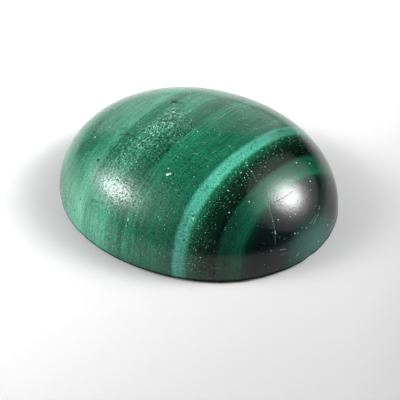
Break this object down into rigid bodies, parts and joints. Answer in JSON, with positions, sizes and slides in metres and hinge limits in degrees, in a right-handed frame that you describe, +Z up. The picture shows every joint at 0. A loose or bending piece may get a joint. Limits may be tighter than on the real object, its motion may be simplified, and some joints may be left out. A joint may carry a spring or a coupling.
{
  "type": "malachite cabochon",
  "caption": "Oval polished malachite with a smooth high dome and a flat back, to be set in a bezel or glued to a pad.",
  "frame": {"origin": "middle of the flat back", "axes": "+X along the oval's length, +Y across it, +Z up through the top of the dome; the back lies in the plane z = 0"},
  "size_m": [0.012, 0.01, 0.0039],
  "materials": {
    "malachite": "polished"
  },
  "bodies": {
    "root": {"cabochon": "malachite"}
  },
  "joints": []
}
